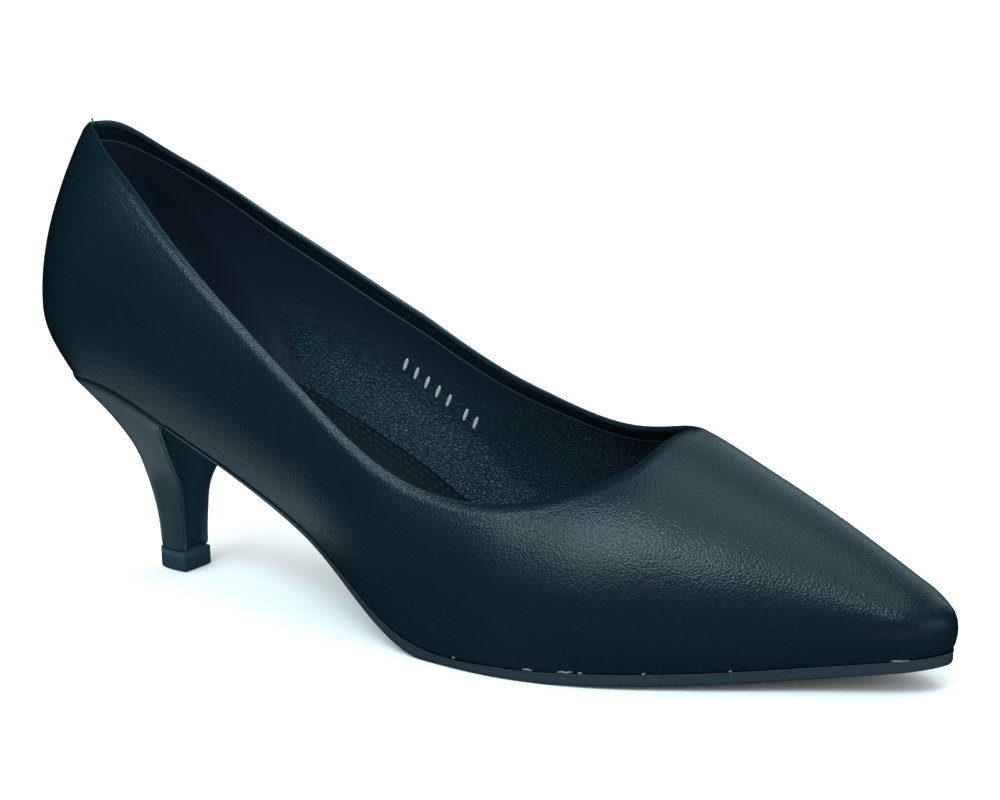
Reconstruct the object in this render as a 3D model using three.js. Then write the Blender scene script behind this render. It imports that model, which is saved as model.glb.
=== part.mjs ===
// Pointed court shoe for the right foot, on a low tapered heel.
// Millimetres. +X runs to the toe, +Y to the wearer's left, +Z up, and the floor is z = 0.
// "Outer" is the little-toe side at -Y, "inner" the big-toe side at +Y.

import * as THREE from 'three';
import { mergeVertices } from 'three/addons/utils/BufferGeometryUtils.js';

// Main sizes

const shoeLength = 256;
const ballWidth = 76.6;
const seatLift = 51.2;
const toeSpring = 6.8;
const archRise = 5.6;
const throatRise = 50;
const quarterHeight = 64;
const throatFromHeel = 190.7;
const upperWall = 1.8;

// Bottom, heel and top piece

const fitGap = 0.3;
const soleThickness = 2.4;
const treadFlat = 0.3;
const soleWelt = 0.2;
const soleBevel = 0.4;
const waistBevel = 1.4;
const insoleThickness = 2.5;
const breastFromHeel = 56;
const heelTipFront = 45;
const heelTipLength = 10.8;
const heelTipWidth = 9.5;
const heelTipOffset = -2.6;
const breastDepth = 1.4;
const topPieceHeight = 5.2;
const topPieceMargin = 0.35;

// Fineness of the faceted forms

const heelFanSteps = 7;
const sideSteps = 34;
const toeFanSteps = 6;
const wallRows = 12;
const plateStrips = 4;
const heelRings = 16;
const heelArcSteps = 22;

const outer = -1;
const inner = 1;
const footShare = 0.28;
const fanReach = 40;

// Height of the feather edge along the shoe.
// at: share of the length. lift, spring, arch: shares of the seat lift, toe spring and arch rise.
// sole: share of the outsole thickness. bevel: share of the waist bevel.

const bedRows = [
  { at: 0.040, lift: 0.995, spring: 0.00, arch: 0.00, sole: 0.55, bevel: 1.00 },
  { at: 0.117, lift: 0.988, spring: 0.00, arch: 0.00, sole: 0.55, bevel: 1.00 },
  { at: 0.242, lift: 0.773, spring: 0.00, arch: 0.60, sole: 0.58, bevel: 1.00 },
  { at: 0.391, lift: 0.428, spring: 0.00, arch: 1.00, sole: 0.80, bevel: 0.60 },
  { at: 0.539, lift: 0.023, spring: 0.00, arch: 0.46, sole: 1.16, bevel: 0.10 },
  { at: 0.648, lift: 0.000, spring: 0.00, arch: 0.03, sole: 1.00, bevel: 0.00 },
  { at: 0.727, lift: 0.000, spring: 0.12, arch: 0.00, sole: 1.00, bevel: 0.00 },
  { at: 0.813, lift: 0.000, spring: 0.27, arch: 0.00, sole: 1.00, bevel: 0.00 },
  { at: 0.898, lift: 0.000, spring: 0.54, arch: 0.00, sole: 1.00, bevel: 0.00 },
  { at: 0.965, lift: 0.000, spring: 0.82, arch: 0.00, sole: 1.00, bevel: 0.00 },
  { at: 1.000, lift: 0.000, spring: 1.00, arch: 0.00, sole: 1.00, bevel: 0.00 },
];

// Half widths of the upper's sections.
// at: share of the length. foot: at the feather edge. wide: at the widest line.
// Both are shares of the ball width.

const widthRows = [
  { at: 0.117, outerFoot: 0.308, innerFoot: 0.330, outerWide: 0.341, innerWide: 0.374 },
  { at: 0.242, outerFoot: 0.339, innerFoot: 0.291, outerWide: 0.383, innerWide: 0.385 },
  { at: 0.391, outerFoot: 0.364, innerFoot: 0.265, outerWide: 0.419, innerWide: 0.401 },
  { at: 0.539, outerFoot: 0.482, innerFoot: 0.340, outerWide: 0.491, innerWide: 0.430 },
  { at: 0.648, outerFoot: 0.514, innerFoot: 0.426, outerWide: 0.525, innerWide: 0.475 },
  { at: 0.727, outerFoot: 0.465, innerFoot: 0.450, outerWide: 0.498, innerWide: 0.482 },
  { at: 0.813, outerFoot: 0.341, innerFoot: 0.360, outerWide: 0.389, innerWide: 0.389 },
  { at: 0.898, outerFoot: 0.203, innerFoot: 0.224, outerWide: 0.250, innerWide: 0.252 },
  { at: 0.965, outerFoot: 0.106, innerFoot: 0.120, outerWide: 0.150, innerWide: 0.146 },
];

// Heights of the upper's sections over the feather edge, as shares of the throat rise.
// belly: height of the widest line. crest: height of the top.
// slim: how much flatter than an ellipse the shoulder is.

const heightRows = [
  { at: 0.117, belly: 0.410, crest: 1.378, slim: 0.44 },
  { at: 0.242, belly: 0.394, crest: 1.367, slim: 0.16 },
  { at: 0.391, belly: 0.399, crest: 1.332, slim: 0.11 },
  { at: 0.539, belly: 0.338, crest: 1.266, slim: 0.13 },
  { at: 0.648, belly: 0.273, crest: 1.063, slim: 0.18 },
  { at: 0.727, belly: 0.237, crest: 1.000, slim: 0.19 },
  { at: 0.813, belly: 0.208, crest: 0.787, slim: 0.15 },
  { at: 0.898, belly: 0.183, crest: 0.537, slim: 0.12 },
  { at: 0.965, belly: 0.159, crest: 0.300, slim: 0.05 },
];

// The two ends, past the first and the last section.
// foot: reach of the feather edge as a share of the length. The widest line reaches the full length.

const heelEnd = { foot: 0.070, belly: 0.270, crest: 1.574, slim: 0.27 };
const toeEnd = { foot: 0.0305, belly: 0.089, crest: 0.300, slim: 0.05 };

// Collar line. at: share of the way from the heel to the throat.
// outer, inner: height over the outer feather edge, as shares of the quarter height.

const collarRows = [
  { at: 0.078, outer: 1.000, inner: 1.000 },
  { at: 0.157, outer: 0.898, inner: 0.861 },
  { at: 0.250, outer: 0.799, inner: 0.771 },
  { at: 0.400, outer: 0.657, inner: 0.705 },
  { at: 0.560, outer: 0.557, inner: 0.704 },
  { at: 0.724, outer: 0.563, inner: 0.776 },
  { at: 0.865, outer: 0.565, inner: 0.695 },
  { at: 0.925, outer: 0.606, inner: 0.707 },
  { at: 0.962, outer: 0.645, inner: 0.726 },
  { at: 0.985, outer: 0.684, inner: 0.740 },
];

// Heel block. at: share of the drop from the seat to the tip.
// front, width, back: how much of the difference between seat and tip is left there.

const heelRows = [
  { at: 0.00, front: 1.000, width: 1.000, back: 1.000 },
  { at: 0.12, front: 0.640, width: 0.830, back: 0.846 },
  { at: 0.25, front: 0.432, width: 0.640, back: 0.591 },
  { at: 0.40, front: 0.200, width: 0.390, back: 0.356 },
  { at: 0.60, front: 0.020, width: 0.088, back: 0.216 },
  { at: 0.80, front: 0.000, width: 0.010, back: 0.073 },
  { at: 1.00, front: 0.000, width: 0.000, back: 0.000 },
];

// A smooth curve through the rows of a table.

function smoothCurve(rows, column, unit, lengthUnit, extra = {}) {
  const xs = rows.map((row) => row.at * lengthUnit);
  const ys = rows.map((row) => row[column] * unit);
  if (extra.end) {
    xs.push(extra.end.x);
    ys.push(extra.end.y);
  }
  const last = xs.length - 1;
  const rate = (i) => (ys[i + 1] - ys[i]) / (xs[i + 1] - xs[i]);
  const slopes = ys.map((_, i) => {
    if (i === 0 || i === last) return 0;
    const before = xs[i] - xs[i - 1];
    const after = xs[i + 1] - xs[i];
    return (after * rate(i - 1) + before * rate(i)) / (before + after);
  });
  slopes[0] = extra.levelStart ? 0 : 1.5 * rate(0) - 0.5 * slopes[1];
  slopes[last] = 1.5 * rate(last - 1) - 0.5 * slopes[last - 1];
  return (x) => {
    const held = THREE.MathUtils.clamp(x, xs[0], xs[last]);
    let i = 0;
    while (i < last - 1 && held > xs[i + 1]) i += 1;
    const span = xs[i + 1] - xs[i];
    const t = (held - xs[i]) / span;
    const u = 1 - t;
    const ends = ys[i] * u * u * (1 + 2 * t) + ys[i + 1] * t * t * (3 - 2 * t);
    return ends + span * t * u * (slopes[i] * u - slopes[i + 1] * t);
  };
}

function columns(rows, units, lengthUnit) {
  const curves = {};
  for (const [column, unit] of Object.entries(units)) {
    curves[column] = smoothCurve(rows, column, unit, lengthUnit);
  }
  return curves;
}

const bed = columns(bedRows, {
  lift: seatLift, spring: toeSpring, arch: archRise, sole: soleThickness, bevel: waistBevel,
}, shoeLength);

const section = {
  ...columns(widthRows, {
    outerFoot: ballWidth, innerFoot: ballWidth, outerWide: ballWidth, innerWide: ballWidth,
  }, shoeLength),
  ...columns(heightRows, { belly: throatRise, crest: throatRise, slim: 1 }, shoeLength),
};

const heelPivot = widthRows[0].at * shoeLength;
const toePivot = widthRows[widthRows.length - 1].at * shoeLength;
const ballBed = soleThickness + fitGap - treadFlat;

function outerBedHeight(x) {
  return ballBed + bed.lift(x) + bed.spring(x);
}

function halfFoot(x, side) {
  return side === outer ? section.outerFoot(x) : section.innerFoot(x);
}

function sideArch(x, side) {
  return side === outer ? 0 : bed.arch(x);
}

// Height of the shoe's bed, which rises across the arch from the outer to the inner edge.

function bedHeight(x, y) {
  const across = (y + section.outerFoot(x)) / (section.outerFoot(x) + section.innerFoot(x));
  return outerBedHeight(x) + bed.arch(x) * THREE.MathUtils.clamp(across, 0, 1);
}

// One wall section. level 0 is the feather edge, footShare the widest line, 1 the crest.

function sectionPoint(foot, wide, belly, crest, slim, level) {
  if (level <= footShare) {
    const share = level / footShare;
    const half = foot + (wide - foot) * (1 - (1 - share) ** 2);
    return { half, rise: belly * share, crown: 0 };
  }
  const turn = ((level - footShare) / (1 - footShare)) * (Math.PI / 2);
  const half = wide * Math.cos(turn) * (1 - slim * Math.sin(turn) ** 2);
  return { half, rise: belly + (crest - belly) * Math.sin(turn), crown: Math.sin(turn) ** 2 };
}

function sidePoint(x, side, level) {
  const arch = sideArch(x, side);
  const foot = halfFoot(x, side);
  const wide = side === outer ? section.outerWide(x) : section.innerWide(x);
  const belly = section.belly(x) - arch / 2;
  const crest = section.crest(x) - arch;
  return sectionPoint(foot, wide, belly, crest, section.slim(x), level);
}

function endPoint(end, reach, level) {
  const belly = end.belly * throatRise;
  return sectionPoint(end.foot * shoeLength, reach, belly, end.crest * throatRise, end.slim, level);
}

// A point of the upper's outside. Between the pivots, along is x itself. Past a pivot it
// holds the angle round the end, up to a quarter turn.

function wallPoint(along, side, level) {
  const x = THREE.MathUtils.clamp(along, heelPivot, toePivot);
  const base = sidePoint(x, side, level);
  const angle = Math.min(Math.abs(along - x), Math.PI / 2);
  if (angle === 0) {
    const z = outerBedHeight(x) + sideArch(x, side) + base.rise;
    return new THREE.Vector3(x, side * base.half, z);
  }
  const forward = along > x ? 1 : -1;
  const end = forward > 0
    ? endPoint(toeEnd, shoeLength - toePivot, level)
    : endPoint(heelEnd, heelPivot, level);
  const within = sidePoint(x - forward * 0.5, side, level);
  const halfSlope = (base.half - within.half) / 0.5;
  const riseSlope = (base.rise - within.rise) / 0.5;
  const sin = Math.sin(angle);
  const cos = Math.cos(angle);
  const px = x + forward * end.half * sin;
  const half = base.half * cos + halfSlope * end.half * sin * cos;
  const slope = riseSlope * (cos * cos + base.crown * sin * sin);
  const rise = base.rise + slope * end.half * sin + (end.rise - base.rise) * sin * sin;
  const z = outerBedHeight(px) + sideArch(px, side) + rise;
  return new THREE.Vector3(px, side * half, z);
}

// Collar level on one side, found so that the wall stands at the collar's height.

const throatPoint = wallPoint(throatFromHeel, outer, 1);
const collarEnd = { x: throatFromHeel, y: throatPoint.z - outerBedHeight(throatFromHeel) };
const collarExtra = { end: collarEnd, levelStart: true };
const collarCurve = {
  [outer]: smoothCurve(collarRows, 'outer', quarterHeight, throatFromHeel, collarExtra),
  [inner]: smoothCurve(collarRows, 'inner', quarterHeight, throatFromHeel, collarExtra),
};

function collarLevel(along, side) {
  let low = footShare;
  let high = 1;
  for (let i = 0; i < 30; i += 1) {
    const middle = (low + high) / 2;
    const { x, z } = wallPoint(along, side, middle);
    if (z < outerBedHeight(x) + collarCurve[side](x)) low = middle;
    else high = middle;
  }
  return (low + high) / 2;
}

// Flat development of the wall: the crest is its middle line and each end a half disc.
// Straight lines on it run cleanly from the feather edge to the collar.

function unfold(along, side, level) {
  const reach = (1 - level) * fanReach;
  const pivot = THREE.MathUtils.clamp(along, heelPivot, toePivot);
  const angle = along - pivot;
  return new THREE.Vector2(pivot + reach * Math.sin(angle), side * reach * Math.cos(angle));
}

function fold(flat) {
  const side = flat.y > 0 ? inner : outer;
  const pivot = THREE.MathUtils.clamp(flat.x, heelPivot, toePivot);
  const reach = Math.hypot(flat.x - pivot, flat.y);
  const angle = Math.atan2(flat.x - pivot, Math.abs(flat.y));
  return wallPoint(pivot + (flat.x === pivot ? 0 : angle), side, 1 - reach / fanReach);
}

// Stations along one half of the shoe, from the back of the heel to the toe tip.

function stations(start) {
  const list = [];
  if (start === undefined) {
    for (let i = 0; i < heelFanSteps; i += 1) {
      list.push(heelPivot - (Math.PI / 2) * (1 - i / heelFanSteps));
    }
  }
  const from = start ?? heelPivot;
  const steps = Math.round((sideSteps * (toePivot - from)) / (toePivot - heelPivot));
  for (let i = 0; i < steps; i += 1) {
    list.push(from + ((toePivot - from) * i) / steps);
  }
  for (let i = 0; i <= toeFanSteps; i += 1) {
    list.push(toePivot + ((Math.PI / 2) * i) / toeFanSteps);
  }
  return list;
}

// Direction in plan, at one point of an outline's side, that leads into the shoe.

function inwardAt(points, i, side) {
  if (Math.abs(points[i].y) < 1e-6) return new THREE.Vector3(i === 0 ? 1 : -1, 0, 0);
  const before = points[Math.max(0, i - 1)];
  const after = points[Math.min(points.length - 1, i + 1)];
  return new THREE.Vector3(side * (after.y - before.y), side * (before.x - after.x), 0).normalize();
}

// Moves a line of the outline inwards by a distance, square to its run in plan.

function insetLine(points, side, distance) {
  return points.map((point, i) => {
    const gap = typeof distance === 'function' ? distance(point.x, i) : distance;
    return point.clone().addScaledVector(inwardAt(points, i, side), gap);
  });
}

function footLine(list, side, rise = 0) {
  return list.map((along) => {
    const x = THREE.MathUtils.clamp(along, heelPivot, toePivot);
    return wallPoint(along, side, (footShare * rise) / section.belly(x));
  });
}

// What the wall's thickness takes up in plan at each station, more where the wall leans.

function wallReach(list, side, rise) {
  const line = footLine(list, side, rise);
  const higher = footLine(list, side, rise + 0.5);
  return line.map((point, i) => {
    const run = line[Math.min(line.length - 1, i + 1)].clone().sub(line[Math.max(0, i - 1)]);
    const normal = run.cross(higher[i].clone().sub(point)).normalize();
    return upperWall / Math.abs(normal.dot(inwardAt(line, i, side)));
  });
}

// Closed mesh from rings of points. Each ring has the same count, and rings joins both ways
// when looped. Otherwise the first and last rings are closed by a fan.

function skin(rings, looped) {
  const count = rings[0].length;
  const positions = rings.flat().flatMap((point) => [point.x, point.y, point.z]);
  const index = [];
  const at = (ring, i) => (ring % rings.length) * count + (i % count);
  const lastRing = looped ? rings.length : rings.length - 1;
  for (let ring = 0; ring < lastRing; ring += 1) {
    for (let i = 0; i < count; i += 1) {
      index.push(at(ring, i), at(ring, i + 1), at(ring + 1, i + 1));
      index.push(at(ring, i), at(ring + 1, i + 1), at(ring + 1, i));
    }
  }
  if (!looped) {
    for (let left = 0; left + 1 < count - 1 - left; left += 1) {
      const quad = [left, left + 1, count - 2 - left, count - 1 - left];
      addCap(index, quad.map((i) => at(0, i)), false);
      addCap(index, quad.map((i) => at(rings.length - 1, i)), true);
    }
  }
  return closedGeometry(positions, index);
}

function addCap(index, [a, b, c, d], front) {
  index.push(...(front ? [a, b, c, a, c, d] : [a, c, b, a, d, c]));
}

// Merges equal points and leaves out the faces that this closes up.

function closedGeometry(positions, index) {
  const raw = new THREE.BufferGeometry();
  raw.setAttribute('position', new THREE.Float32BufferAttribute(positions, 3));
  raw.setIndex(index);
  const merged = mergeVertices(raw, 1e-4);
  const source = merged.getIndex().array;
  const kept = [];
  for (let i = 0; i < source.length; i += 3) {
    const [a, b, c] = [source[i], source[i + 1], source[i + 2]];
    if (a !== b && b !== c && c !== a) kept.push(a, b, c);
  }
  merged.setIndex(kept);
  merged.computeVertexNormals();
  return merged;
}

// Upper: one hollow wall, open at the collar and underneath.

function upperGeometry() {
  const list = stations();
  const half = list.length - 1;
  const collarAlong = list.map((along, i) => {
    if (i <= heelFanSteps) return along;
    const left = 1 - (i - heelFanSteps) / (half - heelFanSteps);
    return heelPivot + (throatFromHeel - heelPivot) * (1 - left ** 1.8);
  });
  const ends = (side) => list.map((along, i) => ({
    foot: unfold(along, side, 0),
    collar: i === half
      ? new THREE.Vector2(throatFromHeel, 0)
      : unfold(collarAlong[i], side, collarLevel(collarAlong[i], side)),
  }));
  const round = [...ends(outer), ...ends(inner).slice(1, -1).reverse()];
  const outside = [];
  for (let row = 0; row <= wallRows; row += 1) {
    outside.push(round.map(({ foot, collar }) => fold(foot.clone().lerp(collar, row / wallRows))));
  }
  const inside = [];
  const rim = [];
  outside.forEach((line, row) => {
    const above = outside[Math.min(wallRows, row + 1)];
    const below = outside[Math.max(0, row - 1)];
    inside.push(line.map((point, i) => {
      const run = line[(i + 1) % line.length].clone().sub(line[(i + line.length - 1) % line.length]);
      const climb = above[i].clone().sub(below[i]);
      const normal = run.clone().cross(climb);
      if (row === 0) normal.setZ(0);
      normal.normalize();
      if (row === wallRows) {
        const lift = normal.clone().cross(run).normalize().multiplyScalar(0.35 * upperWall);
        rim.push(point.clone().addScaledVector(normal, -upperWall / 2).add(lift));
      }
      return point.clone().addScaledVector(normal, -upperWall);
    }));
  });
  return skin([...outside, rim, ...inside.reverse()], true);
}

// A plate between an upper and a lower outline, each given by its outer and inner side line.

function plateGeometry(top, bottom) {
  const rings = top[outer].map((_, i) => {
    const ring = [];
    for (let strip = 0; strip <= plateStrips; strip += 1) {
      ring.push(bottom[outer][i].clone().lerp(bottom[inner][i], strip / plateStrips));
    }
    for (let strip = 0; strip <= plateStrips; strip += 1) {
      ring.push(top[inner][i].clone().lerp(top[outer][i], strip / plateStrips));
    }
    return ring;
  });
  return skin(rings, false);
}

function onBed(points, offset) {
  return points.map((point) => {
    const lift = typeof offset === 'function' ? offset(point.x) : offset;
    const z = bedHeight(point.x, point.y) + lift;
    return new THREE.Vector3(point.x, point.y, z);
  });
}

// Insole: fills the foot of the upper inside its wall.

function insoleGeometry() {
  const list = stations();
  const top = {};
  const bottom = {};
  for (const side of [outer, inner]) {
    const reach = wallReach(list, side, insoleThickness);
    const upperEdge = footLine(list, side, insoleThickness);
    bottom[side] = onBed(insetLine(footLine(list, side), side, upperWall + fitGap), 0);
    top[side] = onBed(insetLine(upperEdge, side, (x, i) => reach[i] + fitGap), insoleThickness);
  }
  return plateGeometry(top, bottom);
}

// Outsole: from the heel breast to the toe, thin and bevelled at the waist, flat at the ball.

function outsoleGeometry() {
  const list = stations(breastFromHeel + fitGap);
  const top = {};
  const bottom = {};
  const underside = (point) => {
    const drop = fitGap + bed.sole(point.x);
    return Math.max(0, bedHeight(point.x, point.y) - drop);
  };
  for (const side of [outer, inner]) {
    const edge = footLine(list, side);
    top[side] = onBed(insetLine(edge, side, -soleWelt), -fitGap);
    bottom[side] = insetLine(edge, side, (x) => soleBevel - soleWelt + bed.bevel(x));
    for (const point of bottom[side]) point.z = underside(point);
  }
  return plateGeometry(top, bottom);
}

// Plan outline of the heel seat, as wide as the foot of the upper.

function seatHalf(x, side) {
  if (x >= heelPivot) return halfFoot(x, side);
  const reach = heelEnd.foot * shoeLength;
  const share = THREE.MathUtils.clamp((heelPivot - x) / reach, 0, 1);
  return Math.abs(wallPoint(heelPivot - Math.asin(share), side, 0).y);
}

// Ring of points with a straight front and a round back, from the middle of the front.

function heelRing({ front, back, middle, halfAt, dish, heightAt }) {
  const plan = [];
  for (let i = 0; i <= heelArcSteps; i += 1) {
    const angle = (Math.PI * i) / heelArcSteps;
    const side = angle <= Math.PI / 2 ? outer : inner;
    const x = front - (front - back) * Math.sin(angle);
    plan.push([x, middle + side * halfAt(x, side, Math.abs(Math.cos(angle)))]);
  }
  const from = plan[0][1];
  const to = plan[heelArcSteps][1];
  const frontPoint = (share) => [
    front - dish * 4 * share * (1 - share),
    THREE.MathUtils.lerp(from, to, share),
  ];
  plan.unshift(frontPoint(0.5), frontPoint(0.25));
  plan.push(frontPoint(0.75), frontPoint(0.5));
  return plan.map(([x, y]) => new THREE.Vector3(x, y, heightAt(x, y)));
}

function heelGeometry() {
  const left = Object.fromEntries(['front', 'width', 'back'].map(
    (column) => [column, smoothCurve(heelRows, column, 1, 1)],
  ));
  const tipHeight = topPieceHeight + fitGap;
  const tipBack = heelTipFront - heelTipLength;
  const seatBack = heelPivot - heelEnd.foot * shoeLength;
  const breastHalf = (halfFoot(breastFromHeel, outer) + halfFoot(breastFromHeel, inner)) / 2;
  const rings = [];
  for (let i = 0; i <= heelRings; i += 1) {
    const drop = i / heelRings;
    const front = THREE.MathUtils.lerp(heelTipFront, breastFromHeel, left.front(drop));
    const back = THREE.MathUtils.lerp(tipBack, seatBack, left.back(drop));
    const half = THREE.MathUtils.lerp(heelTipWidth / 2, breastHalf, left.width(drop));
    const squareness = 2 / (2 + 0.6 * drop);
    const rounding = 1 - (1 - drop) ** 5;
    rings.push(heelRing({
      front,
      back,
      middle: heelTipOffset * drop,
      halfAt: (x, side, cos) => {
        const seatX = THREE.MathUtils.mapLinear(x, back, front, seatBack, breastFromHeel);
        const seatLike = (seatHalf(seatX, side) * half) / breastHalf;
        return THREE.MathUtils.lerp(seatLike, half * cos ** squareness, rounding);
      },
      dish: breastDepth * Math.min(1, 4 * drop) * (1 - 0.6 * drop),
      heightAt: (x, y) => {
        const seat = bedHeight(x, y) - fitGap;
        return THREE.MathUtils.lerp(seat, tipHeight, drop);
      },
    }));
  }
  return skin(rings, false);
}

// Top piece: the wearing pad under the heel tip.

function topPieceGeometry() {
  const front = heelTipFront + topPieceMargin;
  const half = heelTipWidth / 2 + topPieceMargin;
  const ringAt = (z) => heelRing({
    front,
    back: heelTipFront - heelTipLength - topPieceMargin,
    middle: heelTipOffset,
    halfAt: (x, side, cos) => half * cos ** (2 / 2.6),
    dish: 0,
    heightAt: () => z,
  });
  return skin([ringAt(topPieceHeight), ringAt(0)], false);
}

// Materials

const leather = new THREE.MeshStandardMaterial({ color: 0x14242c, roughness: 0.5, metalness: 0 });
const sock = new THREE.MeshStandardMaterial({ color: 0x0c161c, roughness: 0.6, metalness: 0 });
const resin = new THREE.MeshStandardMaterial({ color: 0x16222a, roughness: 0.65, metalness: 0 });
const rubber = new THREE.MeshStandardMaterial({ color: 0x131c22, roughness: 0.7, metalness: 0 });

// Assembly

const shoe = new THREE.Group();

function addPiece(name, geometry, material) {
  const mesh = new THREE.Mesh(geometry, material);
  mesh.name = name;
  shoe.add(mesh);
}

addPiece('upper', upperGeometry(), leather);
addPiece('insole', insoleGeometry(), sock);
addPiece('outsole', outsoleGeometry(), resin);
addPiece('heel', heelGeometry(), leather);
addPiece('top_piece', topPieceGeometry(), rubber);

// The origin is on the floor, under the middle of the shoe's box.

const box = new THREE.Box3().setFromObject(shoe);
shoe.position.set(-(box.min.x + box.max.x) / 2, -(box.min.y + box.max.y) / 2, 0);
shoe.updateMatrixWorld(true);

export default shoe;
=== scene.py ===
import math
import random

import bmesh
import bpy
import numpy as np
from mathutils import Matrix, Vector
from mathutils.bvhtree import BVHTree


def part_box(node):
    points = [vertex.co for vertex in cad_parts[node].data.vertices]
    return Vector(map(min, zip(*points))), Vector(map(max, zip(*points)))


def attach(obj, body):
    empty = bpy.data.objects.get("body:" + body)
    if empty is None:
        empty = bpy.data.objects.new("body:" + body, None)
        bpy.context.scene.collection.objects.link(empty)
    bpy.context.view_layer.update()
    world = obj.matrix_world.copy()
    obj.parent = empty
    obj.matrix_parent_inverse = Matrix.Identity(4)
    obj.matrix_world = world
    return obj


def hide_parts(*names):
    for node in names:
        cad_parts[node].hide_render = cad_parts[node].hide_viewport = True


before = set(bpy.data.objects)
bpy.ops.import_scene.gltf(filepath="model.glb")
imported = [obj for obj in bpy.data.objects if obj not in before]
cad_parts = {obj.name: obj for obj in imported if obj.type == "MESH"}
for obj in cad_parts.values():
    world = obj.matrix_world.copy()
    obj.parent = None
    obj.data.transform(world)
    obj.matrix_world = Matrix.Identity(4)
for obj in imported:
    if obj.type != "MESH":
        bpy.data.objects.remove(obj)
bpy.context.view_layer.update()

# The last's sizes in millimetres, as in the part's source.
# +X runs to the toe, +Y to the inner side, and z = 0 is the floor.
# SET_IN is how far a piece made here reaches into the gap that its solid leaves.

SHOE_LENGTH = 256.0
BALL_WIDTH = 76.6
SEAT_LIFT = 51.2
TOE_SPRING = 6.8
ARCH_RISE = 5.6
THROAT_RISE = 50.0
QUARTER_HEIGHT = 64.0
THROAT_FROM_HEEL = 190.7
UPPER_WALL = 1.8
FIT_GAP = 0.3
SOLE_THICKNESS = 2.4
TREAD_FLAT = 0.3
SOLE_WELT = 0.2
SOLE_BEVEL = 0.4
WAIST_BEVEL = 1.4
INSOLE_THICKNESS = 2.5
BREAST_FROM_HEEL = 56.0
HEEL_TIP_FRONT = 45.0
HEEL_TIP_LENGTH = 10.8
HEEL_TIP_WIDTH = 9.5
HEEL_TIP_OFFSET = -2.6
BREAST_DISH = 1.4
TOP_PIECE_HEIGHT = 5.2
TOP_PIECE_MARGIN = 0.35
FOOT_SHARE = 0.28
FAN_REACH = 40.0
SET_IN = 0.1
OUTER, INNER = -1, 1

# Shares of the sizes, a row for each place along the shoe, as in the part's source

BED_COLUMNS = ("at", "lift", "spring", "arch", "sole", "bevel")
BED_ROWS = (
    (0.040, 0.995, 0.00, 0.00, 0.55, 1.00),
    (0.117, 0.988, 0.00, 0.00, 0.55, 1.00),
    (0.242, 0.773, 0.00, 0.60, 0.58, 1.00),
    (0.391, 0.428, 0.00, 1.00, 0.80, 0.60),
    (0.539, 0.023, 0.00, 0.46, 1.16, 0.10),
    (0.648, 0.000, 0.00, 0.03, 1.00, 0.00),
    (0.727, 0.000, 0.12, 0.00, 1.00, 0.00),
    (0.813, 0.000, 0.27, 0.00, 1.00, 0.00),
    (0.898, 0.000, 0.54, 0.00, 1.00, 0.00),
    (0.965, 0.000, 0.82, 0.00, 1.00, 0.00),
    (1.000, 0.000, 1.00, 0.00, 1.00, 0.00),
)
SECTION_COLUMNS = ("at", "outer_foot", "inner_foot", "outer_wide", "inner_wide", "belly", "crest", "slim")
SECTION_ROWS = (
    (0.117, 0.308, 0.330, 0.341, 0.374, 0.410, 1.378, 0.44),
    (0.242, 0.339, 0.291, 0.383, 0.385, 0.394, 1.367, 0.16),
    (0.391, 0.364, 0.265, 0.419, 0.401, 0.399, 1.332, 0.11),
    (0.539, 0.482, 0.340, 0.491, 0.430, 0.338, 1.266, 0.13),
    (0.648, 0.514, 0.426, 0.525, 0.475, 0.273, 1.063, 0.18),
    (0.727, 0.465, 0.450, 0.498, 0.482, 0.237, 1.000, 0.19),
    (0.813, 0.341, 0.360, 0.389, 0.389, 0.208, 0.787, 0.15),
    (0.898, 0.203, 0.224, 0.250, 0.252, 0.183, 0.537, 0.12),
    (0.965, 0.106, 0.120, 0.150, 0.146, 0.159, 0.300, 0.05),
)
HEEL_END = dict(foot=0.070, belly=0.270, crest=1.574, slim=0.27)
TOE_END = dict(foot=0.0305, belly=0.089, crest=0.300, slim=0.05)
COLLAR_ROWS = (
    (0.078, 1.000, 1.000),
    (0.157, 0.898, 0.861),
    (0.250, 0.799, 0.771),
    (0.400, 0.657, 0.705),
    (0.560, 0.557, 0.704),
    (0.724, 0.563, 0.776),
    (0.865, 0.565, 0.695),
    (0.925, 0.606, 0.707),
    (0.962, 0.645, 0.726),
    (0.985, 0.684, 0.740),
)
HEEL_ROWS = (
    (0.00, 1.000, 1.000, 1.000),
    (0.12, 0.640, 0.830, 0.846),
    (0.25, 0.432, 0.640, 0.591),
    (0.40, 0.200, 0.390, 0.356),
    (0.60, 0.020, 0.088, 0.216),
    (0.80, 0.000, 0.010, 0.073),
    (1.00, 0.000, 0.000, 0.000),
)


def smooth_curve(at, values, level_start=False):
    at = np.asarray(at, float)
    values = np.asarray(values, float)
    gap = np.diff(at)
    rate = np.diff(values) / gap
    slopes = np.zeros_like(values)
    slopes[1:-1] = (gap[1:] * rate[:-1] + gap[:-1] * rate[1:]) / (gap[:-1] + gap[1:])
    slopes[0] = 0 if level_start else 1.5 * rate[0] - 0.5 * slopes[1]
    slopes[-1] = 1.5 * rate[-1] - 0.5 * slopes[-2]

    def curve(x):
        held = np.clip(x, at[0], at[-1])
        i = np.clip(np.searchsorted(at, held, side="right") - 1, 0, len(at) - 2)
        span = at[i + 1] - at[i]
        t = (held - at[i]) / span
        u = 1 - t
        ends = values[i] * u * u * (1 + 2 * t) + values[i + 1] * t * t * (3 - 2 * t)
        return ends + span * t * u * (slopes[i] * u - slopes[i + 1] * t)

    return curve


def curves(columns, rows, units):
    table = dict(zip(columns, zip(*rows)))
    at = np.array(table["at"]) * SHOE_LENGTH
    return {name: smooth_curve(at, np.array(table[name]) * unit) for name, unit in units.items()}


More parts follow.
